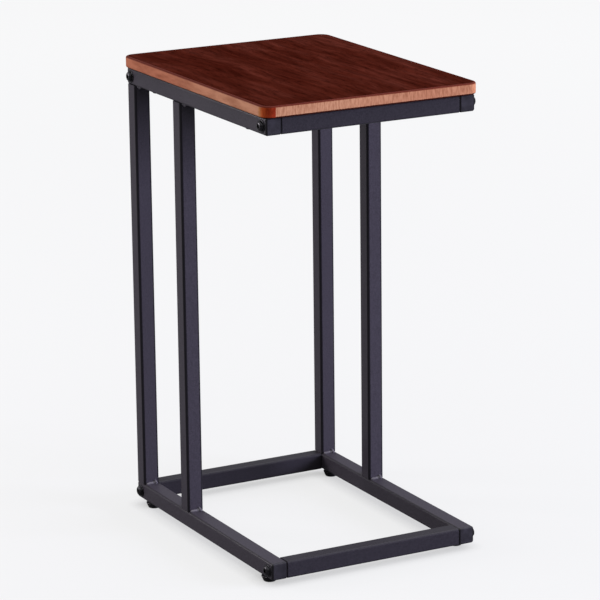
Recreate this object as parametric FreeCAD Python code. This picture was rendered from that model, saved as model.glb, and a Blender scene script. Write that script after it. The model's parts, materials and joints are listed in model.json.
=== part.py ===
import FreeCAD, Part
import math
import os
from FreeCAD import Vector

# C-shaped side table: two welded tube side frames joined by four bolted crossbars,
# a laminated board on top and four levelling feet below.
# Frame: X is the width, -Y the open front of the C, +Y the rear with the legs, Z up.
# The origin is on the floor, under the middle of the top. Millimetres throughout.

# Top board
TOP_WIDTH = 300.0
TOP_DEPTH = 400.0
TOP_THICKNESS = 15.0
TOP_CORNER_RADIUS = 15.0
FACE_LAMINATE = 0.8
BACKING_FOIL = 0.4
EDGE_BAND = 3.0
EDGE_ROUNDING = 2.4

# Tube frame
TUBE = 22.0
TUBE_WALL = 1.2
TUBE_CORNER_RADIUS = 3.0
SIDE_OVERHANG = 4.0
END_OVERHANG = 6.0
LEG_LENGTH = 542.0
INNER_LEG_FROM_REAR = 143.0
CROSSBAR_REVEAL = 0.3
WELD_LEG = 3.0
WELD_CROWN = 0.5

# Rail end caps
CAP_FLANGE = 3.2
CAP_EDGE_ROUNDING = 2.6
CAP_PLUG_WALL = 1.8
CAP_PLUG_CLEARANCE = 0.4
CAP_FIN = 0.7
CAP_FINS = 2
CAP_BOLT_CLEARANCE = 0.5

# Bolts that hold the crossbars between the side frames
BOLT_THREAD = 8.0
BOLT_HEAD = 13.0
BOLT_HEAD_HEIGHT = 5.0
BOLT_FLANGE = 16.0
BOLT_FLANGE_HEIGHT = 1.2
BOLT_FLANGE_ROUNDING = 0.6
BOLT_SOCKET = 5.0
BOLT_SOCKET_DEPTH = 2.6
BOLT_BITE = 13.0
BOLT_HOLE_CLEARANCE = 0.3
THREAD_CLEARANCE = 0.05

# Threaded inserts in the crossbar ends
INSERT_BEYOND_BOLT = 3.0
INSERT_CLEARANCE = 0.1
INSERT_CHAMFER = 1.0

# Screws that hold the board on the upper rails
SCREW_THREAD = 6.0
SCREW_HEAD = 10.5
SCREW_HEAD_HEIGHT = 3.3
SCREW_SOCKET = 4.0
SCREW_SOCKET_DEPTH = 2.0
SCREW_BITE = 8.0
SCREW_HOLE_CLEARANCE = 0.5
SCREW_FROM_END = 64.0
BOARD_INSERT_DIAMETER = 10.0
BOARD_INSERT_CLEARANCE = 0.05
BOARD_INSERT_BEYOND_SCREW = 1.5
BOARD_HOLE_BEYOND_INSERT = 0.5

# Levelling feet
FOOT_HEIGHT = 9.0
FOOT_FROM_END = 28.0
PAD_TOP_DIAMETER = 22.0
PAD_BOTTOM_DIAMETER = 15.5
PAD_TOP_ROUNDING = 0.8
PAD_BOTTOM_ROUNDING = 2.0
PAD_RIM_DROP = 0.4
STUD_THREAD = 6.0
STUD_TIP_CLEARANCE = 1.8
STUD_TIP_CHAMFER = 0.8
COLLAR_FLATS = 8.0
COLLAR_HEIGHT = 3.0
COLLAR_CLEARANCE = 0.4
PIVOT_DIAMETER = 5.0
PIVOT_LENGTH = 3.0
PIVOT_BEAD = 0.4
PIVOT_CLEARANCE = 0.3

# Rivet nuts that take the feet
NUT_FLANGE_DIAMETER = 13.0
NUT_FLANGE = 1.0
NUT_BODY_DIAMETER = 9.0
NUT_HOLE_CLEARANCE = 0.1
NUT_BULGE = 1.5
NUT_BULGE_HEIGHT = 3.0
NUT_ABOVE_WALL = 12.0

# Heights and centre lines that follow from these sizes
FRAME_WIDTH = TOP_WIDTH - 2 * SIDE_OVERHANG
FRAME_DEPTH = TOP_DEPTH - 2 * END_OVERHANG
LOWER_RAIL_Z = FOOT_HEIGHT + TUBE / 2
LEG_BASE_Z = FOOT_HEIGHT + TUBE
LEG_TOP_Z = LEG_BASE_Z + LEG_LENGTH
UPPER_RAIL_Z = LEG_TOP_Z + TUBE / 2
BOARD_BASE_Z = LEG_TOP_Z + TUBE
SIDE_X = FRAME_WIDTH / 2 - TUBE / 2
CROSSBAR_Y = FRAME_DEPTH / 2 - TUBE / 2
INNER_LEG_Y = FRAME_DEPTH / 2 - INNER_LEG_FROM_REAR
FOOT_Y = FRAME_DEPTH / 2 - FOOT_FROM_END
SCREW_Y = FRAME_DEPTH / 2 - SCREW_FROM_END
CROSSBAR_SPAN = FRAME_WIDTH - 2 * TUBE
CROSSBAR_LENGTH = CROSSBAR_SPAN - 2 * CROSSBAR_REVEAL
RAIL_LENGTH = FRAME_DEPTH - 2 * CAP_FLANGE
TUBE_BORE = TUBE - 2 * TUBE_WALL
TUBE_BORE_RADIUS = max(TUBE_CORNER_RADIUS - TUBE_WALL, TUBE_WALL / 4)
NUT_SEAT_Z = FOOT_HEIGHT - NUT_FLANGE

SIDES = {"left": -1, "right": 1}
LEVELS = {"upper": UPPER_RAIL_Z, "lower": LOWER_RAIL_Z}
ENDS = {"front": -1, "rear": 1}

# Turn that lays a piece modelled along Z along another axis
ALONG = {"x": (Vector(0, 1, 0), 90), "y": (Vector(1, 0, 0), -90), "z": (Vector(0, 0, 1), 0)}


def laid_along(shape, axis, start):
    """The shape with its Z axis turned to the named axis and its origin moved to start."""
    turn_axis, angle = ALONG[axis]
    laid = shape.copy()
    laid.rotate(Vector(0, 0, 0), turn_axis, angle)
    laid.translate(start)
    return laid


def rounded_bar(width, depth, radius, length):
    """Solid bar of rounded rectangular section, centred on Z and standing on the XY plane."""
    x, y = width / 2 - radius, depth / 2 - radius
    centres = [(x, y), (-x, y), (-x, -y), (x, -y)]
    arcs = []
    for quarter, (cx, cy) in enumerate(centres):
        start = 90 * quarter
        arcs.append(Part.makeCircle(radius, Vector(cx, cy, 0), Vector(0, 0, 1), start, start + 90))
    edges = []
    for arc, following in zip(arcs, arcs[1:] + arcs[:1]):
        edges.append(arc)
        edges.append(Part.makeLine(arc.lastVertex(True).Point, following.firstVertex(True).Point))
    return Part.Face(Part.Wire(edges)).extrude(Vector(0, 0, length))


def square_tube(length):
    """Square steel tube with rounded corners, along Z."""
    outside = rounded_bar(TUBE, TUBE, TUBE_CORNER_RADIUS, length)
    return outside.cut(rounded_bar(TUBE_BORE, TUBE_BORE, TUBE_BORE_RADIUS, length))


def revolved(profile):
    """Solid of revolution about Z from (radius, height) corners."""
    points = [Vector(radius, 0, height) for radius, height in profile]
    outline = Part.makePolygon(points + points[:1])
    return Part.Face(outline).revolve(Vector(0, 0, 0), Vector(0, 0, 1), 360)


def hexagon_bar(flats, height):
    """Hexagonal bar along Z, measured across its flats."""
    reach = flats / math.sqrt(3)
    corners = []
    for corner in range(6):
        angle = math.radians(60 * corner)
        corners.append(Vector(reach * math.cos(angle), reach * math.sin(angle), 0))
    return Part.Face(Part.makePolygon(corners + corners[:1])).extrude(Vector(0, 0, height))


def round_hole(diameter, length, axis, start):
    return laid_along(Part.makeCylinder(diameter / 2, length), axis, start)


def rim(solid, height, diameter):
    """The circular edges of a solid about Z that have this height and diameter."""
    near = 1e-4
    found = []
    for edge in solid.Edges:
        box = edge.BoundBox
        if abs(box.ZMin - height) < near and abs(box.ZMax - height) < near:
            if abs(box.XLength - diameter) < near:
                found.append(edge)
    return found


def flat_edges(solid, height):
    """All edges of a solid that lie at this height."""
    near = 1e-4
    return [e for e in solid.Edges if abs(e.BoundBox.ZMin - height) + abs(e.BoundBox.ZMax - height) < near]


def top_board():
    """Particle board core, face laminate, backing foil and edge band, stacked flush."""
    inside_radius = TOP_CORNER_RADIUS - EDGE_BAND
    inside_width = TOP_WIDTH - 2 * EDGE_BAND
    inside_depth = TOP_DEPTH - 2 * EDGE_BAND

    def layer(base, thickness):
        slab = rounded_bar(inside_width, inside_depth, inside_radius, thickness)
        slab.translate(Vector(0, 0, base))
        return slab

    core_base = BOARD_BASE_Z + BACKING_FOIL
    face_base = BOARD_BASE_Z + TOP_THICKNESS - FACE_LAMINATE
    foil = layer(BOARD_BASE_Z, BACKING_FOIL)
    core = layer(core_base, face_base - core_base)
    face = layer(face_base, FACE_LAMINATE)

    hole_diameter = BOARD_INSERT_DIAMETER + 2 * BOARD_INSERT_CLEARANCE
    hole_depth = SCREW_BITE + BOARD_INSERT_BEYOND_SCREW + BOARD_HOLE_BEYOND_INSERT
    for x, y in screw_places():
        hole = round_hole(hole_diameter, hole_depth, "z", Vector(x, y, BOARD_BASE_Z))
        foil = foil.cut(hole)
        core = core.cut(hole)

    band = rounded_bar(TOP_WIDTH, TOP_DEPTH, TOP_CORNER_RADIUS, TOP_THICKNESS)
    rounding = min(EDGE_ROUNDING, 0.8 * EDGE_BAND)
    band = band.makeFillet(rounding, flat_edges(band, 0) + flat_edges(band, TOP_THICKNESS))
    band = band.cut(rounded_bar(inside_width, inside_depth, inside_radius, TOP_THICKNESS))
    band.translate(Vector(0, 0, BOARD_BASE_Z))
    return {"top_core_board": core, "top_face_laminate": face,
            "top_backing_foil": foil, "top_edge_band": band}


def screw_places():
    """Where the four board screws pass through the upper rails."""
    return [(side * SIDE_X, end * SCREW_Y) for side in SIDES.values() for end in ENDS.values()]


def foot_places():
    """Name, x and y of each levelling foot."""
    return [(f"{end}_{side}", SIDES[side] * SIDE_X, ENDS[end] * FOOT_Y) for side in SIDES for end in ENDS]


def side_rail(side, level):
    """One side rail with its crossbar bolt holes and its board screw or foot nut holes."""
    x = SIDES[side] * SIDE_X
    z = LEVELS[level]
    rail = laid_along(square_tube(RAIL_LENGTH), "y", Vector(x, -RAIL_LENGTH / 2, z))
    bolt_hole = BOLT_THREAD + 2 * BOLT_HOLE_CLEARANCE
    for end in ENDS.values():
        rail = rail.cut(round_hole(bolt_hole, TUBE, "x", Vector(x - TUBE / 2, end * CROSSBAR_Y, z)))
        if level == "upper":
            screw_hole = SCREW_THREAD + 2 * SCREW_HOLE_CLEARANCE
            start = Vector(x, end * SCREW_Y, z - TUBE / 2)
            rail = rail.cut(round_hole(screw_hole, TUBE, "z", start))
        else:
            nut_hole = NUT_BODY_DIAMETER + 2 * NUT_HOLE_CLEARANCE
            start = Vector(x, end * FOOT_Y, z - TUBE / 2)
            rail = rail.cut(round_hole(nut_hole, TUBE / 2, "z", start))
    return rail


def leg(side, y):
    return laid_along(square_tube(LEG_LENGTH), "z", Vector(SIDES[side] * SIDE_X, y, LEG_BASE_Z))


def crossbar(level, end):
    """One crossbar tube, which stops short of the side rails by the reveal at each end."""
    start = Vector(-CROSSBAR_LENGTH / 2, ENDS[end] * CROSSBAR_Y, LEVELS[level])
    return laid_along(square_tube(CROSSBAR_LENGTH), "x", start)


def weld_bead():
    """Convex fillet along X that fills the corner between a floor at z = 0 and a wall at y = 0."""
    length = TUBE - 2 * TUBE_CORNER_RADIUS
    foot = Vector(-length / 2, -WELD_LEG, 0)
    corner = Vector(-length / 2, 0, 0)
    head = Vector(-length / 2, 0, WELD_LEG)
    bulge = WELD_LEG / 2 + WELD_CROWN / math.sqrt(2)
    crown = Vector(-length / 2, -bulge, bulge)
    edges = [Part.makeLine(foot, corner), Part.makeLine(corner, head), Part.Arc(head, crown, foot).toShape()]
    return Part.Face(Part.Wire(edges)).extrude(Vector(length, 0, 0))


def weld_beads():
    """Beads where each leg meets its rails: in front of every leg, and behind the inner ones."""
    origin = Vector(0, 0, 0)
    beads = []
    for side in SIDES.values():
        for y, faces in ((CROSSBAR_Y, ("front",)), (INNER_LEG_Y, ("front", "rear"))):
            for face in faces:
                for joint_z, upside_down in ((LEG_BASE_Z, False), (LEG_TOP_Z, True)):
                    bead = weld_bead()
                    if face == "rear":
                        bead.rotate(origin, Vector(0, 0, 1), 180)
                    if upside_down:
                        bead = bead.mirror(origin, Vector(0, 0, 1))
                    bead.translate(Vector(side * SIDE_X, y + ENDS[face] * TUBE / 2, joint_z))
                    beads.append(bead)
    return Part.makeCompound(beads)


def end_cap():
    """Plastic rail cap along Z: a flange flush with the tube and a hollow plug with grip fins."""
    flange = rounded_bar(TUBE, TUBE, TUBE_CORNER_RADIUS, CAP_FLANGE)
    rounding = min(CAP_EDGE_ROUNDING, 0.85 * CAP_FLANGE, 0.9 * TUBE_CORNER_RADIUS)
    flange = flange.makeFillet(rounding, flat_edges(flange, 0))
    plug_depth = TUBE / 2 - BOLT_THREAD / 2 - CAP_FLANGE - CAP_BOLT_CLEARANCE
    plug_size = TUBE_BORE - 2 * CAP_PLUG_CLEARANCE
    plug = rounded_bar(plug_size, plug_size, TUBE_BORE_RADIUS, plug_depth)
    for fin in range(CAP_FINS):
        blade = rounded_bar(TUBE_BORE, TUBE_BORE, TUBE_BORE_RADIUS, CAP_FIN)
        blade.translate(Vector(0, 0, (fin + 1) * plug_depth / (CAP_FINS + 1) - CAP_FIN / 2))
        plug = plug.fuse(blade)
    hollow = plug_size - 2 * CAP_PLUG_WALL
    plug = plug.cut(rounded_bar(hollow, hollow, TUBE_BORE_RADIUS, plug_depth))
    plug.translate(Vector(0, 0, CAP_FLANGE))
    return flange.fuse(plug).removeSplitter()


def placed_cap(side, level, end):
    """A cap with its outer face on the end of the frame and its plug inside the rail."""
    cap = end_cap()
    if end == "rear":
        cap.rotate(Vector(0, 0, 0), Vector(1, 0, 0), 180)
    place = Vector(SIDES[side] * SIDE_X, ENDS[end] * FRAME_DEPTH / 2, LEVELS[level])
    return laid_along(cap, "y", place)


def crossbar_insert(level, end, side):
    """Steel plug welded into a crossbar end and tapped for the frame bolt.
    It stands proud of the tube by the reveal and bears on the side rail."""
    size = TUBE_BORE - 2 * INSERT_CLEARANCE
    length = BOLT_BITE + INSERT_BEYOND_BOLT
    plug = rounded_bar(size, size, TUBE_BORE_RADIUS, length)
    plug = plug.makeChamfer(INSERT_CHAMFER, flat_edges(plug, 0))
    plug = plug.cut(Part.makeCylinder(BOLT_THREAD / 2 + THREAD_CLEARANCE, length))
    if side == "left":
        plug.rotate(Vector(0, 0, 0), Vector(1, 0, 0), 180)
    inner_end = CROSSBAR_SPAN / 2 - length
    return laid_along(plug, "x", Vector(SIDES[side] * inner_end, ENDS[end] * CROSSBAR_Y, LEVELS[level]))


def button_head_bolt(thread, length, head, head_height, socket, socket_depth):
    """Domed bolt with a hexagon socket: the head stands on the XY plane, the shank hangs below."""
    flat = head / 4
    skirt = head_height / 5
    tip_chamfer = thread / 8
    middle_radius = (head / 2 + flat) / 2 + head_height / 6
    middle_height = (skirt + head_height) / 2 + head_height / 6
    shoulder = Vector(head / 2, 0, skirt)
    crest = Vector(flat, 0, head_height)
    dome = Part.Arc(shoulder, Vector(middle_radius, 0, middle_height), crest).toShape()
    corners = [crest, Vector(0, 0, head_height), Vector(0, 0, -length), Vector(thread / 2 - tip_chamfer, 0, -length),
               Vector(thread / 2, 0, tip_chamfer - length), Vector(thread / 2, 0, 0), Vector(head / 2, 0, 0), shoulder]
    edges = [dome]
    for corner, following in zip(corners, corners[1:]):
        edges.append(Part.makeLine(corner, following))
    bolt = Part.Face(Part.Wire(edges)).revolve(Vector(0, 0, 0), Vector(0, 0, 1), 360)
    recess = hexagon_bar(socket, socket_depth)
    recess.translate(Vector(0, 0, head_height - socket_depth))
    return bolt.cut(recess)


def flanged_bolt():
    """Frame bolt: a domed head on a broad flange, which bears on the side rail."""
    bolt = button_head_bolt(BOLT_THREAD, TUBE + BOLT_BITE, BOLT_HEAD,
                            BOLT_HEAD_HEIGHT, BOLT_SOCKET, BOLT_SOCKET_DEPTH)
    flange = Part.makeCylinder(BOLT_FLANGE / 2, BOLT_FLANGE_HEIGHT)
    flange = flange.makeFillet(BOLT_FLANGE_ROUNDING, flat_edges(flange, BOLT_FLANGE_HEIGHT))
    return bolt.fuse(flange).removeSplitter()


def frame_bolts():
    """Eight bolts, each from outside a side rail into the crossbar end behind it."""
    bolts = []
    for side in SIDES.values():
        for z in LEVELS.values():
            for end in ENDS.values():
                bolt = flanged_bolt()
                if side < 0:
                    bolt.rotate(Vector(0, 0, 0), Vector(1, 0, 0), 180)
                bolts.append(laid_along(bolt, "x", Vector(side * FRAME_WIDTH / 2, end * CROSSBAR_Y, z)))
    return Part.makeCompound(bolts)


def board_screws():
    """Four screws, heads under the upper rails, that pull the board down on them."""
    screws = []
    for x, y in screw_places():
        screw = button_head_bolt(SCREW_THREAD, TUBE + SCREW_BITE, SCREW_HEAD,
                                 SCREW_HEAD_HEIGHT, SCREW_SOCKET, SCREW_SOCKET_DEPTH)
        screw.rotate(Vector(0, 0, 0), Vector(1, 0, 0), 180)
        screw.translate(Vector(x, y, LEG_TOP_Z))
        screws.append(screw)
    return Part.makeCompound(screws)


def board_inserts():
    """Four threaded sleeves set in the underside of the board."""
    length = SCREW_BITE + BOARD_INSERT_BEYOND_SCREW
    sleeves = []
    for x, y in screw_places():
        sleeve = Part.makeCylinder(BOARD_INSERT_DIAMETER / 2, length)
        sleeve = sleeve.cut(Part.makeCylinder(SCREW_THREAD / 2 + THREAD_CLEARANCE, length))
        sleeve.translate(Vector(x, y, BOARD_BASE_Z))
        sleeves.append(sleeve)
    return Part.makeCompound(sleeves)


def foot_nuts():
    """Four rivet nuts set in the floor side of the lower rails, their flanges below the wall."""
    bore = STUD_THREAD / 2 + THREAD_CLEARANCE
    body = NUT_BODY_DIAMETER / 2
    inside = FOOT_HEIGHT + TUBE_WALL
    swell = NUT_BULGE_HEIGHT / 2
    profile = [(bore, NUT_SEAT_Z), (NUT_FLANGE_DIAMETER / 2, NUT_SEAT_Z), (NUT_FLANGE_DIAMETER / 2, FOOT_HEIGHT),
               (body, FOOT_HEIGHT), (body, inside), (body + NUT_BULGE, inside),
               (body + NUT_BULGE, inside + swell), (body, inside + NUT_BULGE_HEIGHT),
               (body, inside + NUT_ABOVE_WALL), (bore, inside + NUT_ABOVE_WALL)]
    nuts = []
    for _, x, y in foot_places():
        nut = revolved(profile)
        nut.translate(Vector(x, y, 0))
        nuts.append(nut)
    return Part.makeCompound(nuts)


def foot_stud():
    """Levelling screw: pivot pin with a retaining bead, hexagon collar and threaded stud."""
    collar_base = NUT_SEAT_Z - COLLAR_HEIGHT
    pin_base = collar_base - PIVOT_LENGTH
    pin = PIVOT_DIAMETER / 2
    bead = pin + PIVOT_BEAD
    thread = STUD_THREAD / 2
    tip = FOOT_HEIGHT + TUBE - TUBE_WALL - STUD_TIP_CLEARANCE
    profile = [(0, pin_base), (pin, pin_base), (bead, pin_base + PIVOT_BEAD),
               (bead, pin_base + 2 * PIVOT_BEAD), (pin, pin_base + 3 * PIVOT_BEAD),
               (pin, collar_base), (thread, collar_base), (thread, tip - STUD_TIP_CHAMFER),
               (thread - STUD_TIP_CHAMFER, tip), (0, tip)]
    collar = hexagon_bar(COLLAR_FLATS, COLLAR_HEIGHT)
    collar.translate(Vector(0, 0, collar_base))
    return revolved(profile).fuse(collar).removeSplitter()


def foot_pad():
    """Tapered glide: a rim round the collar and a socket that snaps over the pivot pin."""
    height = NUT_SEAT_Z - PAD_RIM_DROP
    pad = revolved([(0, 0), (PAD_BOTTOM_DIAMETER / 2, 0), (PAD_TOP_DIAMETER / 2, height), (0, height)])
    pad = pad.makeFillet(PAD_BOTTOM_ROUNDING, rim(pad, 0, PAD_BOTTOM_DIAMETER))
    pad = pad.makeFillet(PAD_TOP_ROUNDING, rim(pad, height, PAD_TOP_DIAMETER))
    collar_base = NUT_SEAT_Z - COLLAR_HEIGHT
    pin_base = collar_base - PIVOT_LENGTH
    recess = COLLAR_FLATS / math.sqrt(3) + COLLAR_CLEARANCE
    neck = PIVOT_DIAMETER / 2 + THREAD_CLEARANCE
    groove = PIVOT_DIAMETER / 2 + PIVOT_BEAD + PIVOT_CLEARANCE
    socket = [(0, pin_base - PIVOT_CLEARANCE), (groove, pin_base - PIVOT_CLEARANCE),
              (groove, pin_base + 2 * PIVOT_BEAD + PIVOT_CLEARANCE),
              (neck, pin_base + 3 * PIVOT_BEAD + 2 * PIVOT_CLEARANCE), (neck, collar_base),
              (recess, collar_base), (recess, height), (0, height)]
    return pad.cut(revolved(socket))


def nodes():
    """Every piece of the table under its own name."""
    pieces = top_board()
    for side in SIDES:
        pieces[f"{side}_rear_leg"] = leg(side, CROSSBAR_Y)
        pieces[f"{side}_inner_leg"] = leg(side, INNER_LEG_Y)
        for level in LEVELS:
            pieces[f"{side}_{level}_rail"] = side_rail(side, level)
            for end in ENDS:
                pieces[f"{side}_{level}_{end}_end_cap"] = placed_cap(side, level, end)
    for level in LEVELS:
        for end in ENDS:
            pieces[f"{level}_{end}_crossbar"] = crossbar(level, end)
            for side in SIDES:
                pieces[f"{level}_{end}_{side}_crossbar_insert"] = crossbar_insert(level, end, side)
    for name, x, y in foot_places():
        for kind, shape in (("stud", foot_stud()), ("pad", foot_pad())):
            shape.translate(Vector(x, y, 0))
            pieces[f"{name}_foot_{kind}"] = shape
    pieces["weld_beads"] = weld_beads()
    pieces["frame_bolts"] = frame_bolts()
    pieces["board_screws"] = board_screws()
    pieces["board_inserts"] = board_inserts()
    pieces["foot_nuts"] = foot_nuts()
    return pieces


os.makedirs("parts", exist_ok=True)
for node, shape in nodes().items():
    shape.exportStep(f"parts/{node}.step")
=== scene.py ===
import json
import math
import bpy
from mathutils import Matrix, Vector

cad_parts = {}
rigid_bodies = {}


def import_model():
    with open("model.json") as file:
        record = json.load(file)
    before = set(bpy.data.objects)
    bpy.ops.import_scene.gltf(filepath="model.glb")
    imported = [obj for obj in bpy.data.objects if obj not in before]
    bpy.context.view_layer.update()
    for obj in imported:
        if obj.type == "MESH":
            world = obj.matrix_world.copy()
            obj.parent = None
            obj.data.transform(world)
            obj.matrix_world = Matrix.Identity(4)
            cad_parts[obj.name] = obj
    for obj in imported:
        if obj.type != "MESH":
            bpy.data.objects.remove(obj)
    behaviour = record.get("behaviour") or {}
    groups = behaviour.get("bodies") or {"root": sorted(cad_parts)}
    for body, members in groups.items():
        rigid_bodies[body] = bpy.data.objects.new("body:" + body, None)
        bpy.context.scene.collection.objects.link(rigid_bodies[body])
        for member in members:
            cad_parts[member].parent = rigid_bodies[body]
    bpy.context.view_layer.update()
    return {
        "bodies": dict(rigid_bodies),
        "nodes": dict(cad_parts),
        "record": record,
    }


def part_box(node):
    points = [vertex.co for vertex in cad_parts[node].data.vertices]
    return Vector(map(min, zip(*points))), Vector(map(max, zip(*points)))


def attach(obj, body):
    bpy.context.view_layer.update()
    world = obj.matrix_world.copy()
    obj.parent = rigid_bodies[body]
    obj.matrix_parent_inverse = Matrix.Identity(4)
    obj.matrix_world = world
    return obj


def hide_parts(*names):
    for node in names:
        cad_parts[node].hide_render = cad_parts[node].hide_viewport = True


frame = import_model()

# C-shaped side table: a wood-grain laminated board on a black powder-coated tube frame.
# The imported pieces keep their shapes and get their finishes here. Rippled weld beads and
# threaded studs are modelled to take the place of the plain ones. Metres throughout.

MM = 0.001
record = frame["record"]
nodes = frame["nodes"]


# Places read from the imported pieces, and the sizes of their details

top_low, top_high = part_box("top_edge_band")
TOP_HALF_WIDTH = top_high.x
TOP_HALF_DEPTH = top_high.y
TOP_CORNER_RADIUS = 15 * MM
EDGE_ROUNDING = 2.4 * MM
# Heights of the edge band's lower edge that is painted dark as painted shade, along the sides and the ends
SIDE_UNDER_SHADE = 1.1 * MM
END_UNDER_SHADE = 2.1 * MM
SIDES = ("left", "right")
ENDS = ("front", "rear")


# Node helpers

def linear(colour):
    """An sRGB hex colour as linear red, green, blue and alpha."""
    parts = [int(colour[i:i + 2], 16) / 255 for i in (1, 3, 5)]
    return tuple(p / 12.92 if p <= 0.04045 else ((p + 0.055) / 1.055) ** 2.4 for p in parts) + (1.0,)


def add(tree, kind, inputs=None, stops=None, **settings):
    """Adds a shader node with its settings, its colour stops, and values or links for its inputs."""
    node = tree.nodes.new("ShaderNode" + kind)
    for name, value in settings.items():
        setattr(node, name, value)
    for socket, value in (inputs or {}).items():
        if isinstance(value, bpy.types.NodeSocket):
            tree.links.new(value, node.inputs[socket])
        else:
            node.inputs[socket].default_value = value
    if stops:
        elements = node.color_ramp.elements
        while len(elements) < len(stops):
            elements.new(1.0)
        for element, (place, colour) in zip(elements, stops):
            element.position = place
            element.color = colour
    return node


def new_material(name):
    """An empty node material, ready for a surface shader and its output."""
    made = bpy.data.materials.new(name)
    made.use_nodes = True
    made.node_tree.nodes.clear()
    return made, made.node_tree


def per_mm(size):
    """The texture scale that gives a pattern this size, in millimetres."""
    return 1 / (size * MM)


# Sockets of a Mix node for colours, whose names aren't unique
FACTOR = 0
COLOUR_A = 6
COLOUR_B = 7
MIXED = 2

# Most values of a noise texture lie between these two
NOISE_LOW = 0.3
NOISE_HIGH = 0.7

# Painted shade on corner radii: level ones darken by this share of what upright ones do, over this range of
# turning away
LEVEL_CORNER_SHADE_SHARE = 0.2
CORNER_SHADE_TURN = (0.02, 0.15)


def painted_corner_shade(tree):
    """The mask for painted shade on side faces: how far a face turns away, 0 on the flats, 1 on upright
    corner radii, less on level ones.
    """
    normal = add(tree, "SeparateXYZ", {0: add(tree, "NewGeometry").outputs["Normal"]})
    across, along, up = (add(tree, "Math", {0: normal.outputs[axis]}, operation="ABSOLUTE").outputs[0]
                         for axis in "XYZ")
    away = add(tree, "Math", {0: up, 1: LEVEL_CORNER_SHADE_SHARE, 2: along}, operation="MULTIPLY_ADD")
    turn = add(tree, "Math", {0: across, 1: away.outputs[0]}, operation="MULTIPLY")
    first, full = CORNER_SHADE_TURN
    return add(tree, "MapRange", {"Value": turn.outputs[0], "From Min": first, "From Max": full}).outputs[0]


# Finishes

def powder_coat(name, low_colour, high_colour, corner_shade_colour, shine):
    """Black polyester powder coat, sprayed and baked on steel tube.
    It is nearly black with a violet cast and a soft shine, broken by fine grit and a shallow orange peel.
    Its corner radii are painted darker, as painted shade.
    The grit is drawn about three times its real size, so that it shows at this distance."""
    made, tree = new_material(name)
    place = add(tree, "TexCoord").outputs["Object"]
    grit = add(tree, "TexNoise", {"Vector": place, "Scale": per_mm(1.4), "Detail": 3.0, "Roughness": 0.7})
    peel = add(tree, "TexNoise", {"Vector": place, "Scale": per_mm(6.0), "Detail": 1.0})
    cloud = add(tree, "TexNoise", {"Vector": place, "Scale": per_mm(60.0), "Detail": 2.0})
    tone = add(tree, "ValToRGB", {"Fac": grit.outputs["Fac"]},
               stops=[(NOISE_LOW, linear(low_colour)), (NOISE_HIGH, linear(high_colour))])
    # Painted shade: the corner radii are mixed towards a darker colour
    drawn = add(tree, "Mix", {FACTOR: painted_corner_shade(tree), COLOUR_A: tone.outputs["Color"],
                              COLOUR_B: linear(corner_shade_colour)}, data_type="RGBA")
    gloss = add(tree, "MapRange", {"Value": cloud.outputs["Fac"], "From Min": NOISE_LOW,
                                   "From Max": NOISE_HIGH, "To Min": 0.3, "To Max": 0.4})
    heights = add(tree, "Math", {0: grit.outputs["Fac"], 1: peel.outputs["Fac"]}, operation="ADD")
    bump = add(tree, "Bump", {"Height": heights.outputs[0], "Strength": 0.25, "Distance": 0.1 * MM})
    shader = add(tree, "BsdfPrincipled", {"Base Color": drawn.outputs[MIXED], "Roughness": gloss.outputs[0],
                                          "Normal": bump.outputs[0], "Specular IOR Level": shine})
    add(tree, "OutputMaterial", {"Surface": shader.outputs[0]})
    return made


def moulded_plastic():
    """Black polyethylene, injection moulded in a spark-eroded tool: satin, with a fine even pebble.
    The rounded upright edges are painted darker, as painted shade."""
    made, tree = new_material("black_polyethylene")
    place = add(tree, "TexCoord").outputs["Object"]
    pebble = add(tree, "TexVoronoi", {"Vector": place, "Scale": per_mm(0.8)}, feature="SMOOTH_F1")
    cloud = add(tree, "TexNoise", {"Vector": place, "Scale": per_mm(9.0), "Detail": 2.0})
    tone = add(tree, "ValToRGB", {"Fac": cloud.outputs["Fac"]},
               stops=[(NOISE_LOW, linear("#1d1b1f")), (NOISE_HIGH, linear("#29272c"))])
    # Painted shade: the upright corner radii are mixed towards a darker colour
    drawn = add(tree, "Mix", {FACTOR: painted_corner_shade(tree), COLOUR_A: tone.outputs["Color"],
                              COLOUR_B: linear("#141215")}, data_type="RGBA")
    gloss = add(tree, "MapRange", {"Value": cloud.outputs["Fac"], "From Min": NOISE_LOW,
                                   "From Max": NOISE_HIGH, "To Min": 0.36, "To Max": 0.46})
    bump = add(tree, "Bump", {"Height": pebble.outputs["Distance"], "Strength": 0.15, "Distance": 0.05 * MM})
    shader = add(tree, "BsdfPrincipled", {"Base Color": drawn.outputs[MIXED], "Roughness": gloss.outputs[0],
                                          "Normal": bump.outputs[0], "IOR": 1.51,
                                          "Specular IOR Level": 0.2})
    add(tree, "OutputMaterial", {"Surface": shader.outputs[0]})
    return made


def black_oxide():
    """Black-oxide bolt steel, dipped and oiled: a dark metal with a soft, slightly patchy shine."""
    made, tree = new_material("black_oxide_steel")
    place = add(tree, "TexCoord").outputs["Object"]
    patch = add(tree, "TexNoise", {"Vector": place, "Scale": per_mm(2.5), "Detail": 4.0, "Roughness": 0.6})
    tone = add(tree, "ValToRGB", {"Fac": patch.outputs["Fac"]},
               stops=[(NOISE_LOW, linear("#1e1d1f")), (0.75, linear("#2f2e31"))])
    gloss = add(tree, "MapRange", {"Value": patch.outputs["Fac"], "From Min": NOISE_LOW,
                                   "From Max": NOISE_HIGH, "To Min": 0.24, "To Max": 0.4})
    shader = add(tree, "BsdfPrincipled", {"Base Color": tone.outputs["Color"], "Roughness": gloss.outputs[0],
                                          "Metallic": 0.85})
    add(tree, "OutputMaterial", {"Surface": shader.outputs[0]})
    return made


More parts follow.
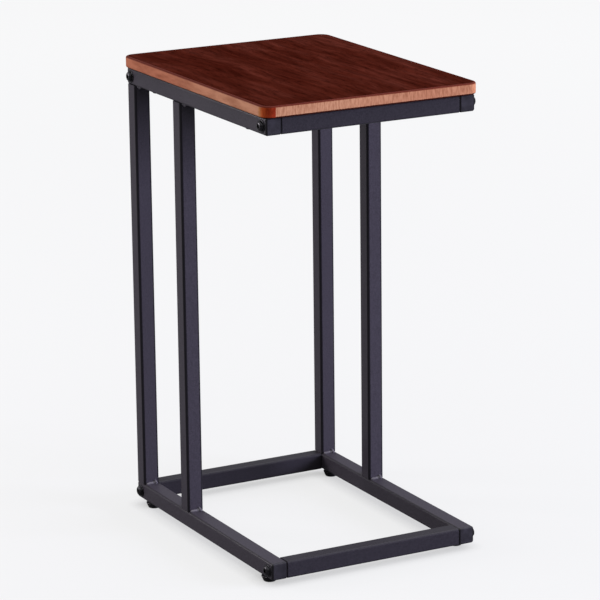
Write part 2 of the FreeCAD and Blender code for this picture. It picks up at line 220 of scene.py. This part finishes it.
def zinc_plate():
    """Bright zinc plate on steel: pale and shiny, with faint cloudy spangle."""
    made, tree = new_material("zinc_plated_steel")
    place = add(tree, "TexCoord").outputs["Object"]
    spangle = add(tree, "TexVoronoi", {"Vector": place, "Scale": per_mm(1.6)})
    cloud = add(tree, "TexNoise", {"Vector": place, "Scale": per_mm(4.0), "Detail": 3.0})
    tone = add(tree, "ValToRGB", {"Fac": cloud.outputs["Fac"]},
               stops=[(NOISE_LOW, linear("#b3b6ba")), (NOISE_HIGH, linear("#d0d1cf"))])
    gloss = add(tree, "MapRange", {"Value": spangle.outputs["Distance"], "From Max": 0.8, "To Min": 0.22,
                                   "To Max": 0.36})
    shader = add(tree, "BsdfPrincipled", {"Base Color": tone.outputs["Color"], "Roughness": gloss.outputs[0],
                                          "Metallic": 1.0})
    add(tree, "OutputMaterial", {"Surface": shader.outputs[0]})
    return made


def particle_board():
    """Raw particle board: pressed chips a few millimetres long in mixed wood tones."""
    made, tree = new_material("particle_board")
    place = add(tree, "TexCoord").outputs["Object"]
    flat = add(tree, "Mapping", {"Vector": place, "Scale": (1.0, 1.0, 3.0)})
    chips = add(tree, "TexVoronoi", {"Vector": flat.outputs[0], "Scale": per_mm(3.0), "Randomness": 1.0})
    shade = add(tree, "SeparateColor", {"Color": chips.outputs["Color"]})
    tone = add(tree, "ValToRGB", {"Fac": shade.outputs["Red"]},
               stops=[(0.0, linear("#8a6a45")), (0.5, linear("#b8935f")), (1.0, linear("#d4b88a"))])
    bump = add(tree, "Bump", {"Height": chips.outputs["Distance"], "Strength": 0.5, "Distance": 0.3 * MM})
    shader = add(tree, "BsdfPrincipled", {"Base Color": tone.outputs["Color"], "Roughness": 0.85,
                                          "Normal": bump.outputs[0]})
    add(tree, "OutputMaterial", {"Surface": shader.outputs[0]})
    return made


def backing_foil():
    """Melamine-paper backing under the board: plain dark brown, dry and matt, with a faint paper mottle."""
    made, tree = new_material("brown_backing_paper")
    place = add(tree, "TexCoord").outputs["Object"]
    mottle = add(tree, "TexNoise", {"Vector": place, "Scale": per_mm(3.0), "Detail": 4.0})
    tone = add(tree, "ValToRGB", {"Fac": mottle.outputs["Fac"]},
               stops=[(NOISE_LOW, linear("#3a2018")), (NOISE_HIGH, linear("#4a2a20"))])
    shader = add(tree, "BsdfPrincipled", {"Base Color": tone.outputs["Color"], "Roughness": 0.7,
                                          "Specular IOR Level": 0.2})
    add(tree, "OutputMaterial", {"Surface": shader.outputs[0]})
    return made


# Radians of ring waves over the range of the noise, and how far the waves shift the figure
RING_PHASE = 60.0
ARCH_DEPTH = 0.045
# Painted light: added to the figure for each metre towards the right and the rear, which grow lighter
PAINTED_LIGHT_SLOPE = (0.45, 0.35, 0.0)


def mahogany_laminate():
    """Mahogany-print melamine laminate, pressed with a matt plate: dark red-brown, grain along the depth.
    Growth rings cut flat give long arches, with soft bands, narrow streaks and short dark pores along Y.
    It is painted a little lighter and browner towards the right and the rear, as painted light."""
    made, tree = new_material("mahogany_laminate")
    place = add(tree, "TexCoord").outputs["Object"]
    drift = add(tree, "TexNoise", {"Vector": place, "Scale": per_mm(160.0), "Detail": 1.0})
    wander = add(tree, "VectorMath", {0: drift.outputs["Color"], "Scale": 40 * MM}, operation="SCALE")
    bent = add(tree, "VectorMath", {0: place, 1: wander.outputs[0]}, operation="ADD").outputs[0]
    ring_space = add(tree, "Mapping", {"Vector": bent, "Scale": (1.0, 0.22, 1.0)})
    band_space = add(tree, "Mapping", {"Vector": bent, "Scale": (1.0, 0.1, 1.0)})
    streak_space = add(tree, "Mapping", {"Vector": bent, "Scale": (1.0, 0.05, 1.0)})
    hills = add(tree, "TexNoise", {"Vector": ring_space.outputs[0], "Scale": per_mm(70.0), "Detail": 1.0})
    rings = add(tree, "Math", {0: hills.outputs["Fac"], 1: RING_PHASE}, operation="MULTIPLY")
    arches = add(tree, "Math", {0: rings.outputs[0]}, operation="SINE")
    bands = add(tree, "TexNoise", {"Vector": band_space.outputs[0], "Scale": per_mm(26.0), "Detail": 3.0})
    streaks = add(tree, "TexNoise", {"Vector": streak_space.outputs[0], "Scale": per_mm(6.0), "Detail": 4.0})
    pores = add(tree, "TexNoise", {"Vector": band_space.outputs[0], "Scale": per_mm(1.8), "Detail": 2.0})
    figure = add(tree, "Math", {0: arches.outputs[0], 1: ARCH_DEPTH, 2: bands.outputs["Fac"]},
                 operation="MULTIPLY_ADD")
    # Painted light: the leaf is lighter towards the right and the rear
    slope = add(tree, "VectorMath", {0: place, 1: PAINTED_LIGHT_SLOPE}, operation="DOT_PRODUCT")
    leaf = add(tree, "Math", {0: figure.outputs[0], 1: slope.outputs["Value"]}, operation="ADD")
    broad = add(tree, "ValToRGB", {"Fac": leaf.outputs[0]},
                stops=[(NOISE_LOW, linear("#351009")), (0.5, linear("#3f170f")),
                       (NOISE_HIGH, linear("#4a2018"))])
    narrow = add(tree, "ValToRGB", {"Fac": streaks.outputs["Fac"]},
                 stops=[(0.34, linear("#cac6c6")), (0.66, linear("#ffffff"))])
    dashes = add(tree, "ValToRGB", {"Fac": pores.outputs["Fac"]},
                 stops=[(0.34, linear("#c8c4c4")), (0.46, linear("#ffffff"))])
    streaked = add(tree, "Mix", {FACTOR: 1.0, COLOUR_A: broad.outputs["Color"],
                                 COLOUR_B: narrow.outputs["Color"]}, data_type="RGBA", blend_type="MULTIPLY")
    tone = add(tree, "Mix", {FACTOR: 1.0, COLOUR_A: streaked.outputs[MIXED],
                             COLOUR_B: dashes.outputs["Color"]}, data_type="RGBA", blend_type="MULTIPLY")
    gloss = add(tree, "MapRange", {"Value": streaks.outputs["Fac"], "From Min": NOISE_LOW,
                                   "From Max": NOISE_HIGH, "To Min": 0.62, "To Max": 0.52})
    bump = add(tree, "Bump", {"Height": pores.outputs["Fac"], "Strength": 0.1, "Distance": 0.1 * MM})
    shader = add(tree, "BsdfPrincipled", {"Base Color": tone.outputs[MIXED], "Roughness": gloss.outputs[0],
                                          "Normal": bump.outputs[0], "Specular IOR Level": 0.0})
    add(tree, "OutputMaterial", {"Surface": shader.outputs[0]})
    return made


# In corner radii, how sharp a lapped seam is and how far before the end the painted corner shade starts
LAP_SHARPNESS = 0.95
CORNER_SHADE_START = 1.25
# The share of the painted corner shade that a corner without a lap gets
UNLAPPED_SHADE = 0.08
# Painted shade over half the width and half the depth, darker towards the right and the rear, and the range
# in which it shows together with the print's random fading
SHADE_ACROSS = 0.5
SHADE_ALONG = 0.8
FADE_AND_SHADE_RANGE = (-0.5, 0.5)
# The share of the upper rounding that has darkened fully
ARRIS_SHARE = 0.5


def edge_band():
    """Wood-print edging, pressed on hot: light tan on the flats, with short striations at the ends.
    Along the top arris the stretched print shows its dark red ground; the lower edge is painted dark, as
    painted shade. The side strips go round the corners and lap at the front left and the rear right, where
    they are painted dark red-brown as painted shade."""
    made, tree = new_material("mahogany_edge_band")
    place = add(tree, "TexCoord").outputs["Object"]
    split = add(tree, "SeparateXYZ", {0: place})
    across = add(tree, "Math", {0: split.outputs["X"]}, operation="ABSOLUTE")
    along = add(tree, "Math", {0: split.outputs["Y"]}, operation="ABSOLUTE")
    diagonal = add(tree, "Math", {0: split.outputs["X"], 1: split.outputs["Y"]}, operation="MULTIPLY")
    lapped = add(tree, "Math", {0: diagonal.outputs[0], 1: 0.0}, operation="GREATER_THAN")
    seam_end = add(tree, "Math", {0: lapped.outputs[0], 1: -LAP_SHARPNESS * TOP_CORNER_RADIUS,
                                  2: TOP_HALF_WIDTH}, operation="MULTIPLY_ADD")
    side_strip = add(tree, "MapRange", {"Value": across.outputs[0],
                                        "From Min": TOP_HALF_WIDTH - TOP_CORNER_RADIUS,
                                        "From Max": seam_end.outputs[0]})
    round_corner = add(tree, "MapRange", {"Value": along.outputs[0],
                                          "From Min": TOP_HALF_DEPTH - CORNER_SHADE_START * TOP_CORNER_RADIUS,
                                          "From Max": TOP_HALF_DEPTH})
    # Painted shade: the side strips darken towards the lapped corners, and a little at the others
    lap_shade = add(tree, "Math", {0: lapped.outputs[0], 1: 1 - UNLAPPED_SHADE, 2: UNLAPPED_SHADE},
               operation="MULTIPLY_ADD")
    side_lap_shade = add(tree, "Math", {0: lap_shade.outputs[0], 1: round_corner.outputs[0]}, operation="MULTIPLY")
    side = add(tree, "ValToRGB", {"Fac": side_lap_shade.outputs[0]},
               stops=[(0.0, linear("#aa785d")), (0.2, linear("#a16c40")), (0.48, linear("#a24920")),
                      (0.76, linear("#903517")), (1.0, linear("#7d2916"))])
    strips = add(tree, "Mix", {FACTOR: side_strip.outputs[0], COLOUR_A: linear("#9d7156"),
                               COLOUR_B: side.outputs["Color"]}, data_type="RGBA")
    wobble = add(tree, "TexNoise", {"Vector": place, "Scale": per_mm(70.0), "Detail": 2.0})
    # Painted shade: the band grows darker towards the right and the rear; the noise is the print's random
    # fading
    shade_slope = (SHADE_ACROSS / TOP_HALF_WIDTH, SHADE_ALONG / TOP_HALF_DEPTH, 0.0)
    slope = add(tree, "VectorMath", {0: place, 1: shade_slope}, operation="DOT_PRODUCT")
    drift = add(tree, "Math", {0: wobble.outputs["Fac"], 1: slope.outputs["Value"]}, operation="ADD")
    fade_and_shade = add(tree, "MapRange", {"Value": drift.outputs[0], "From Min": FADE_AND_SHADE_RANGE[0],
                                  "From Max": FADE_AND_SHADE_RANGE[1]})
    shaded = add(tree, "ValToRGB", {"Fac": fade_and_shade.outputs[0]},
                 stops=[(0.0, linear("#ffffff")), (1.0, linear("#e7cbc6"))])
    grain_space = add(tree, "Mapping", {"Vector": place, "Scale": (1.0, 0.04, 0.2)})
    grain = add(tree, "TexNoise", {"Vector": grain_space.outputs[0], "Scale": per_mm(2.0), "Detail": 4.0,
                                   "Roughness": 0.6})
    lines = add(tree, "ValToRGB", {"Fac": grain.outputs["Fac"]},
                stops=[(0.36, linear("#d3c5be")), (0.6, linear("#ffffff"))])
    strips_faded_and_shaded = add(tree, "Mix", {FACTOR: 1.0, COLOUR_A: strips.outputs[MIXED],
                              COLOUR_B: shaded.outputs["Color"]}, data_type="RGBA", blend_type="MULTIPLY")
    printed = add(tree, "Mix", {FACTOR: 1.0, COLOUR_A: strips_faded_and_shaded.outputs[MIXED],
                                COLOUR_B: lines.outputs["Color"]}, data_type="RGBA", blend_type="MULTIPLY")
    arris = add(tree, "MapRange", {"Value": split.outputs["Z"], "From Min": top_high.z - EDGE_ROUNDING,
                                   "From Max": top_high.z - ARRIS_SHARE * EDGE_ROUNDING})
    # Painted shade: the band's lower edge is painted dark, taller along the ends
    under_shade_height = add(tree, "Math", {0: side_strip.outputs[0], 1: SIDE_UNDER_SHADE - END_UNDER_SHADE,
                                    2: top_low.z + END_UNDER_SHADE}, operation="MULTIPLY_ADD")
    under = add(tree, "Math", {0: split.outputs["Z"], 1: under_shade_height.outputs[0]}, operation="LESS_THAN")
    rounded = add(tree, "Mix", {FACTOR: arris.outputs[0], COLOUR_A: printed.outputs[MIXED],
                                COLOUR_B: linear("#4b1c13")}, data_type="RGBA")
    tone = add(tree, "Mix", {FACTOR: under.outputs[0], COLOUR_A: rounded.outputs[MIXED],
                             COLOUR_B: linear("#35140e")}, data_type="RGBA")
    bump = add(tree, "Bump", {"Height": grain.outputs["Fac"], "Strength": 0.15, "Distance": 0.1 * MM})
    shader = add(tree, "BsdfPrincipled", {"Base Color": tone.outputs[MIXED], "Roughness": 0.45,
                                          "Normal": bump.outputs[0], "Specular IOR Level": 0.03})
    add(tree, "OutputMaterial", {"Surface": shader.outputs[0]})
    return made


FINISHES = {
    "black_powder_coat": powder_coat("black_powder_coat", "#28252a", "#3a363d", "#19171b", 0.12),
    "black_plastic": moulded_plastic(),
    "black_oxide_steel": black_oxide(),
    "zinc_plated_steel": zinc_plate(),
    "particle_board": particle_board(),
    "backing_foil": backing_foil(),
    "mahogany_laminate": mahogany_laminate(),
    "edge_band": edge_band(),
}
for piece in record["subparts"]:
    for material_slot in nodes[piece["node"]].material_slots:
        material_slot.material = FINISHES[piece["material_slot"]]

# The crossbars get a copy of the coat a shade darker than the side frames, as painted shade
crossbar_shaded_coat = powder_coat("black_powder_coat_crossbar", "#1d1b1f", "#2b282d", "#151316", 0.12)
for name, piece in nodes.items():
    if name.endswith("_crossbar"):
        for material_slot in piece.material_slots:
            material_slot.material = crossbar_shaded_coat


# Modelling helpers

SMOOTH_ANGLE = math.radians(35)
JOINED_WITHIN = 0.001 * MM


def edit_whole(piece):
    """Goes into edit mode on one piece, with all of its mesh selected."""
    bpy.ops.object.select_all(action="DESELECT")
    piece.select_set(True)
    bpy.context.view_layer.objects.active = piece
    bpy.ops.object.mode_set(mode="EDIT")
    bpy.ops.mesh.select_all(action="SELECT")


def close_up(piece):
    """Merges doubled points, turns the faces outwards and smooths the piece up to its sharp edges."""
    edit_whole(piece)
    bpy.ops.mesh.remove_doubles(threshold=JOINED_WITHIN)
    bpy.ops.mesh.normals_make_consistent(inside=False)
    bpy.ops.object.mode_set(mode="OBJECT")
    bpy.ops.object.shade_smooth_by_angle(angle=SMOOTH_ANGLE)


def joined(pieces, name):
    """Joins pieces to one object of this name."""
    bpy.ops.object.select_all(action="DESELECT")
    for piece in pieces:
        piece.select_set(True)
    bpy.context.view_layer.objects.active = pieces[0]
    bpy.ops.object.join()
    whole = bpy.context.object
    whole.name = name
    return whole


def copy_at(piece, place):
    """A copy of a piece with its own mesh, which is moved to its place."""
    copy = piece.copy()
    copy.data = piece.data.copy()
    copy.data.transform(place)
    bpy.context.scene.collection.objects.link(copy)
    return copy


def finish_piece(piece, body, node, finish):
    """Gives a piece its finish and the body that it moves with, and hides the plain node that it stands for.
    """
    piece.data.materials.clear()
    piece.data.materials.append(finish)
    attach(piece, body)
    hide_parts(node)


# Weld beads

BEAD_SIZE = 3.0 * MM
BEAD_LENGTH = 16.0 * MM
BEAD_ROUND = 32
RIPPLES = 9
# Steps of one ripple, each a share of its length and of the bead's size
RIPPLE = ((0.0, 0.84), (0.3, 0.95), (0.65, 1.0), (0.9, 0.94))
# The size left at the ends and how abruptly it falls there, and the lump's added size, place and length
BEAD_END = 0.5
BEAD_END_FALL = 6
BEAD_STOP = 0.8
BEAD_STOP_AT = 0.8
BEAD_STOP_LENGTH = 0.14


def weld_bead():
    """One fillet bead about the origin, along X: a quarter round in front of a leg and above a rail.
    Each ripple rises and then drops, as the pool of a weld sets, and the ends thin out.
    Near the end on the right, where the weld stopped, it leaves a lump."""
    start = -BEAD_LENGTH / 2
    bpy.ops.object.select_all(action="DESELECT")
    bpy.ops.mesh.primitive_circle_add(vertices=BEAD_ROUND, radius=BEAD_SIZE, fill_type="NGON",
                                      location=(start, 0, 0), rotation=(0, math.pi / 2, 0))
    bead = bpy.context.object
    bpy.ops.object.transform_apply(location=True, rotation=True, scale=True)
    for outward in ((0, 1, 0), (0, 0, -1)):
        edit_whole(bead)
        bpy.ops.mesh.bisect(plane_co=(0, 0, 0), plane_no=outward, clear_outer=True)
        bpy.ops.object.mode_set(mode="OBJECT")
    edit_whole(bead)
    steps = [(i + share) / RIPPLES for i in range(RIPPLES) for share, size in RIPPLE] + [1.0]
    sizes = [size for i in range(RIPPLES) for share, size in RIPPLE] + [RIPPLE[0][1]]
    thin = [1 - (1 - BEAD_END) * abs(2 * step - 1) ** BEAD_END_FALL for step in steps]
    lump = [1 + BEAD_STOP * math.exp(-((step - BEAD_STOP_AT) / BEAD_STOP_LENGTH) ** 2) for step in steps]
    sizes = [size * end * stop for size, end, stop in zip(sizes, thin, lump)]
    bpy.ops.transform.resize(value=(1, sizes[0], sizes[0]), center_override=(start, 0, 0))
    for i in range(1, len(steps)):
        move = (steps[i] - steps[i - 1]) * BEAD_LENGTH
        grow = sizes[i] / sizes[i - 1]
        bpy.ops.mesh.extrude_region_move(TRANSFORM_OT_translate={"value": (move, 0, 0)})
        bpy.ops.transform.resize(value=(1, grow, grow), center_override=(start, 0, 0))
    bpy.ops.object.mode_set(mode="OBJECT")
    close_up(bead)
    return bead


def weld_beads():
    """The beads at both ends of the legs: in front of every leg, and behind the inner ones.
    Their coat is painted lighter as a painted highlight, and it shines more."""
    model = weld_bead()
    beads = []
    for side in SIDES:
        for leg in ("rear", "inner"):
            low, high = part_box(f"{side}_{leg}_leg")
            middle = (low.x + high.x) / 2
            beads.append(copy_at(model, Matrix.Translation((middle, low.y, low.z))))
            beads.append(copy_at(model, Matrix.Translation((middle, low.y, high.z))
                                 @ Matrix.Rotation(math.pi, 4, "Y")))
            if leg == "inner":
                beads.append(copy_at(model, Matrix.Translation((middle, high.y, low.z))
                                     @ Matrix.Rotation(math.pi, 4, "Z")))
                beads.append(copy_at(model, Matrix.Translation((middle, high.y, high.z))
                                     @ Matrix.Rotation(math.pi, 4, "X")))
    bpy.data.objects.remove(model)
    # A lighter colour as painted highlight, with a real higher shine
    weld_coat_with_painted_highlight = powder_coat("black_powder_coat_weld", "#4b464e", "#767179", "#4b464e", 1.0)
    finish_piece(joined(beads, "rippled_weld_beads"), "table", "weld_beads", weld_coat_with_painted_highlight)


# Threaded studs of the levelling feet

THREAD_PITCH = 1.0 * MM
THREAD_CREST = 3.0 * MM
THREAD_ROOT = 2.387 * MM
THREAD_STEPS = 24
# Shares of the pitch that the thread's root, flanks and crest take up
ROOT_FLAT = 1 / 4
FLANK = 5 / 16
CREST_FLAT = 1 / 8
SPARE_TURNS = 2
HEXAGON = 6
COLLAR_ACROSS_FLATS = 8.0 * MM
COLLAR_HEIGHT = 3.0 * MM
COLLAR_CHAMFER = 0.3 * MM
PIN_RADIUS = 2.5 * MM
PIN_BEAD = 0.4 * MM
PIN_ROUND = 32


def turned(rings, around, turn=0.0):
    """A closed solid on the Z axis through rings of radius and height, with this many sides."""
    radius, height = rings[0]
    bpy.ops.object.select_all(action="DESELECT")
    bpy.ops.mesh.primitive_circle_add(vertices=around, radius=radius, fill_type="NGON",
                                      location=(0, 0, height), rotation=(0, 0, turn))
    piece = bpy.context.object
    bpy.ops.object.transform_apply(location=True, rotation=True, scale=True)
    edit_whole(piece)
    for (last_radius, last_height), (radius, height) in zip(rings, rings[1:]):
        grow = radius / last_radius
        bpy.ops.mesh.extrude_region_move(TRANSFORM_OT_translate={"value": (0, 0, height - last_height)})
        bpy.ops.transform.resize(value=(grow, grow, 1), center_override=(0, 0, height))
    bpy.ops.object.mode_set(mode="OBJECT")
    close_up(piece)
    return piece


def thread(low, high):
    """A screw thread on the Z axis: one pitch of its profile, wound up and cut off at both ends."""
    depth = THREAD_CREST - THREAD_ROOT
    profile = ((0, ROOT_FLAT), (depth, FLANK), (0, CREST_FLAT), (-depth, FLANK))
    bpy.ops.object.select_all(action="DESELECT")
    bpy.ops.mesh.primitive_plane_add(size=THREAD_PITCH, location=(THREAD_ROOT, 0, low - THREAD_PITCH))
    piece = bpy.context.object
    bpy.ops.object.transform_apply(location=True, rotation=True, scale=True)
    edit_whole(piece)
    bpy.ops.mesh.merge(type="CENTER")
    for out, up in profile:
        bpy.ops.mesh.extrude_vertices_move(TRANSFORM_OT_translate={"value": (out, 0, up * THREAD_PITCH)})
    bpy.ops.object.mode_set(mode="OBJECT")
    winding = piece.modifiers.new("winding", "SCREW")
    winding.axis = "Z"
    winding.angle = 2 * math.pi
    winding.screw_offset = THREAD_PITCH
    winding.iterations = math.ceil((high - low) / THREAD_PITCH) + SPARE_TURNS
    winding.steps = THREAD_STEPS
    winding.render_steps = THREAD_STEPS
    bpy.ops.object.modifier_apply(modifier=winding.name)
    close_up(piece)
    for height, outward in ((low, (0, 0, -1)), (high, (0, 0, 1))):
        edit_whole(piece)
        bpy.ops.mesh.bisect(plane_co=(0, 0, height), plane_no=outward, clear_outer=True, use_fill=True)
        bpy.ops.object.mode_set(mode="OBJECT")
    close_up(piece)
    return piece


def stud():
    """One levelling stud on the Z axis: the pin that snaps into the pad, a hexagon collar and the thread."""
    low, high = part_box("front_left_foot_stud")
    collar_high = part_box("foot_nuts")[0].z
    collar_low = collar_high - COLLAR_HEIGHT
    pin = turned([(PIN_RADIUS, low.z), (PIN_RADIUS + PIN_BEAD, low.z + PIN_BEAD),
                  (PIN_RADIUS + PIN_BEAD, low.z + 2 * PIN_BEAD), (PIN_RADIUS, low.z + 3 * PIN_BEAD),
                  (PIN_RADIUS, collar_low)], PIN_ROUND)
    corner = COLLAR_ACROSS_FLATS / 2 / math.cos(math.pi / HEXAGON)
    collar = turned([(corner - COLLAR_CHAMFER, collar_low), (corner, collar_low + COLLAR_CHAMFER),
                     (corner, collar_high - COLLAR_CHAMFER), (corner - COLLAR_CHAMFER, collar_high)],
                    HEXAGON, math.pi / HEXAGON)
    return joined([pin, collar, thread(collar_high, high.z)], "stud")


def threaded_studs():
    """The studs of the four feet, each turning with its own screw."""
    model = stud()
    for end in ENDS:
        for side in SIDES:
            low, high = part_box(f"{end}_{side}_foot_stud")
            middle = (low + high) / 2
            piece = copy_at(model, Matrix.Translation((middle.x, middle.y, 0)))
            piece.name = f"{end}_{side}_threaded_stud"
            finish_piece(piece, f"{end}_{side}_screw", f"{end}_{side}_foot_stud",
                         FINISHES["zinc_plated_steel"])
    bpy.data.objects.remove(model)


weld_beads()
threaded_studs()


# Floor, light and camera

FLOOR_SIZE = 60.0
FLOOR_COLOUR = "#ffffff"
# The light from behind the floor near the table and far from it, and the distances that these are at
FLOOR_GLOW = 0.755
FAR_FLOOR_GLOW = 0.81
FLOOR_NEAR = 0.6
FLOOR_FAR = 3.5
# The share of the lamps' light that the floor throws to the camera, and to the table
FLOOR_ALBEDO = 0.08
FLOOR_ALBEDO_TO_TABLE = 0.16
# The shade close under the frame: its depth, its reach and the side that the light comes from
CONTACT_SHADE = 0.45
CONTACT_REACH = 20 * MM
CONTACT_LIGHT = (0.0, -0.6, 0.8)
CONTACT_SAMPLES = 4
BACKDROP_COLOUR = "#f5f6f8"
# The surround's brightness overhead and near the horizon, and the upward slopes between which it rises
SURROUND_COLOUR = "#fafbff"
SURROUND_HIGH = 2.0
SURROUND_LOW = 0.1
SURROUND_RISE = (0.3, 0.8)


def floor():
    """A plain pale studio floor with light behind it, so that wide shadows on it stay faint.
    Close under the frame, where little light from the front and above gets in, it is shaded.
    It throws less light on the table, as in a picture whose background was brightened.
    It stays under the lowest foot when one is screwed out."""
    made, tree = new_material("pale_floor")
    colour = linear(FLOOR_COLOUR)
    lit = add(tree, "BsdfDiffuse", {"Color": [FLOOR_ALBEDO * c for c in colour[:3]] + [1.0]})
    away = add(tree, "VectorMath", {0: add(tree, "TexCoord").outputs["Object"]}, operation="LENGTH")
    spread = add(tree, "MapRange", {"Value": away.outputs["Value"], "From Min": FLOOR_NEAR,
                                    "From Max": FLOOR_FAR, "To Min": FLOOR_GLOW, "To Max": FAR_FLOOR_GLOW})
    lit_from = add(tree, "CombineXYZ", dict(enumerate(CONTACT_LIGHT)))
    openness = add(tree, "AmbientOcclusion", {"Distance": CONTACT_REACH, "Normal": lit_from.outputs[0]},
                   samples=CONTACT_SAMPLES)
    contact = add(tree, "MapRange", {"Value": openness.outputs["AO"], "To Min": 1 - CONTACT_SHADE})
    strength = add(tree, "Math", {0: spread.outputs[0], 1: contact.outputs[0]}, operation="MULTIPLY")
    glow = add(tree, "Emission", {"Color": colour, "Strength": strength.outputs[0]})
    seen = add(tree, "AddShader", {0: lit.outputs[0], 1: glow.outputs[0]})
    dim = add(tree, "BsdfDiffuse", {"Color": [FLOOR_ALBEDO_TO_TABLE * c for c in colour[:3]] + [1.0]})
    path = add(tree, "LightPath")
    both = add(tree, "MixShader", {0: path.outputs["Is Camera Ray"], 1: dim.outputs[0], 2: seen.outputs[0]})
    add(tree, "OutputMaterial", {"Surface": both.outputs[0]})
    bpy.ops.object.select_all(action="DESELECT")
    bpy.ops.mesh.primitive_plane_add(size=FLOOR_SIZE)
    ground = bpy.context.object
    ground.name = "studio_floor"
    ground.data.materials.append(made)
    for end in ENDS:
        for side in SIDES:
            below = ground.constraints.new("FLOOR")
            below.target = frame["bodies"][f"{end}_{side}_foot"]
            below.floor_location = "FLOOR_NEGATIVE_Z"


def soft_light(name, place, target, width, height, energy, colour, glare=True):
    """A large softbox at a place, facing a target.
    Without glare it leaves no mirror image, as through a polarising filter."""
    data = bpy.data.lights.new(name, "AREA")
    data.shape = "RECTANGLE"
    data.size = width
    data.size_y = height
    data.energy = energy
    data.color = linear(colour)[:3]
    lamp = bpy.data.objects.new(name, data)
    lamp.location = place
    lamp.rotation_euler = (Vector(target) - Vector(place)).to_track_quat("-Z", "Y").to_euler()
    lamp.visible_camera = False
    lamp.visible_glossy = glare
    bpy.context.scene.collection.objects.link(lamp)


def studio_light():
    """A white surround, bright overhead and dim near the horizon, with softboxes in front and behind left.
    Beyond the floor the camera sees a pale backdrop."""
    world = bpy.data.worlds.new("studio")
    world.use_nodes = True
    tree = world.node_tree
    tree.nodes.clear()
    direction = add(tree, "TexCoord").outputs["Generated"]
    split = add(tree, "SeparateXYZ", {0: direction})
    high = linear(SURROUND_COLOUR)
    low = tuple(c * SURROUND_LOW / SURROUND_HIGH for c in high[:3]) + (1.0,)
    shade = add(tree, "ValToRGB", {"Fac": split.outputs["Z"]}, stops=list(zip(SURROUND_RISE, (low, high))))
    surround = add(tree, "Background", {"Color": shade.outputs["Color"], "Strength": SURROUND_HIGH})
    backdrop = add(tree, "Background", {"Color": linear(BACKDROP_COLOUR)})
    path = add(tree, "LightPath")
    both = add(tree, "MixShader", {0: path.outputs["Is Camera Ray"], 1: surround.outputs[0],
                                   2: backdrop.outputs[0]})
    add(tree, "OutputWorld", {"Surface": both.outputs[0]})
    bpy.context.scene.world = world
    soft_light("front_softbox", place=(3.9, -3.2, 1.5), target=(0, 0, 0.35), width=2.8, height=1.6,
               energy=730.0, colour="#e2e4ff", glare=False)
    soft_light("rear_left_softbox", place=(-2.1, 1.7, 1.0), target=(0, 0, 0.3), width=1.0, height=1.0,
               energy=62.0, colour="#fbf5fb")


CAMERA_PLACE = (-1.88634, -3.53901, 1.37717)
CAMERA_YAW = -28.07
CAMERA_PITCH = -14.95
CAMERA_ROLL = -0.67
CAMERA_LENS = 193.13
CAMERA_SENSOR = 36.0


def photo_camera():
    """The camera at the photograph's place, from the front left and a little above the top."""
    data = bpy.data.cameras.new("photo_camera")
    data.lens = CAMERA_LENS
    data.sensor_width = CAMERA_SENSOR
    data.clip_end = 2 * FLOOR_SIZE
    camera = bpy.data.objects.new("photo_camera", data)
    turn = Matrix.Rotation(math.radians(CAMERA_YAW), 4, "Z")
    turn = turn @ Matrix.Rotation(math.radians(90 + CAMERA_PITCH), 4, "X")
    turn = turn @ Matrix.Rotation(math.radians(CAMERA_ROLL), 4, "Z")
    camera.matrix_world = Matrix.Translation(CAMERA_PLACE) @ turn
    bpy.context.scene.collection.objects.link(camera)
    bpy.context.scene.camera = camera


floor()
studio_light()
photo_camera()
bpy.context.scene.view_settings.view_transform = "Standard"
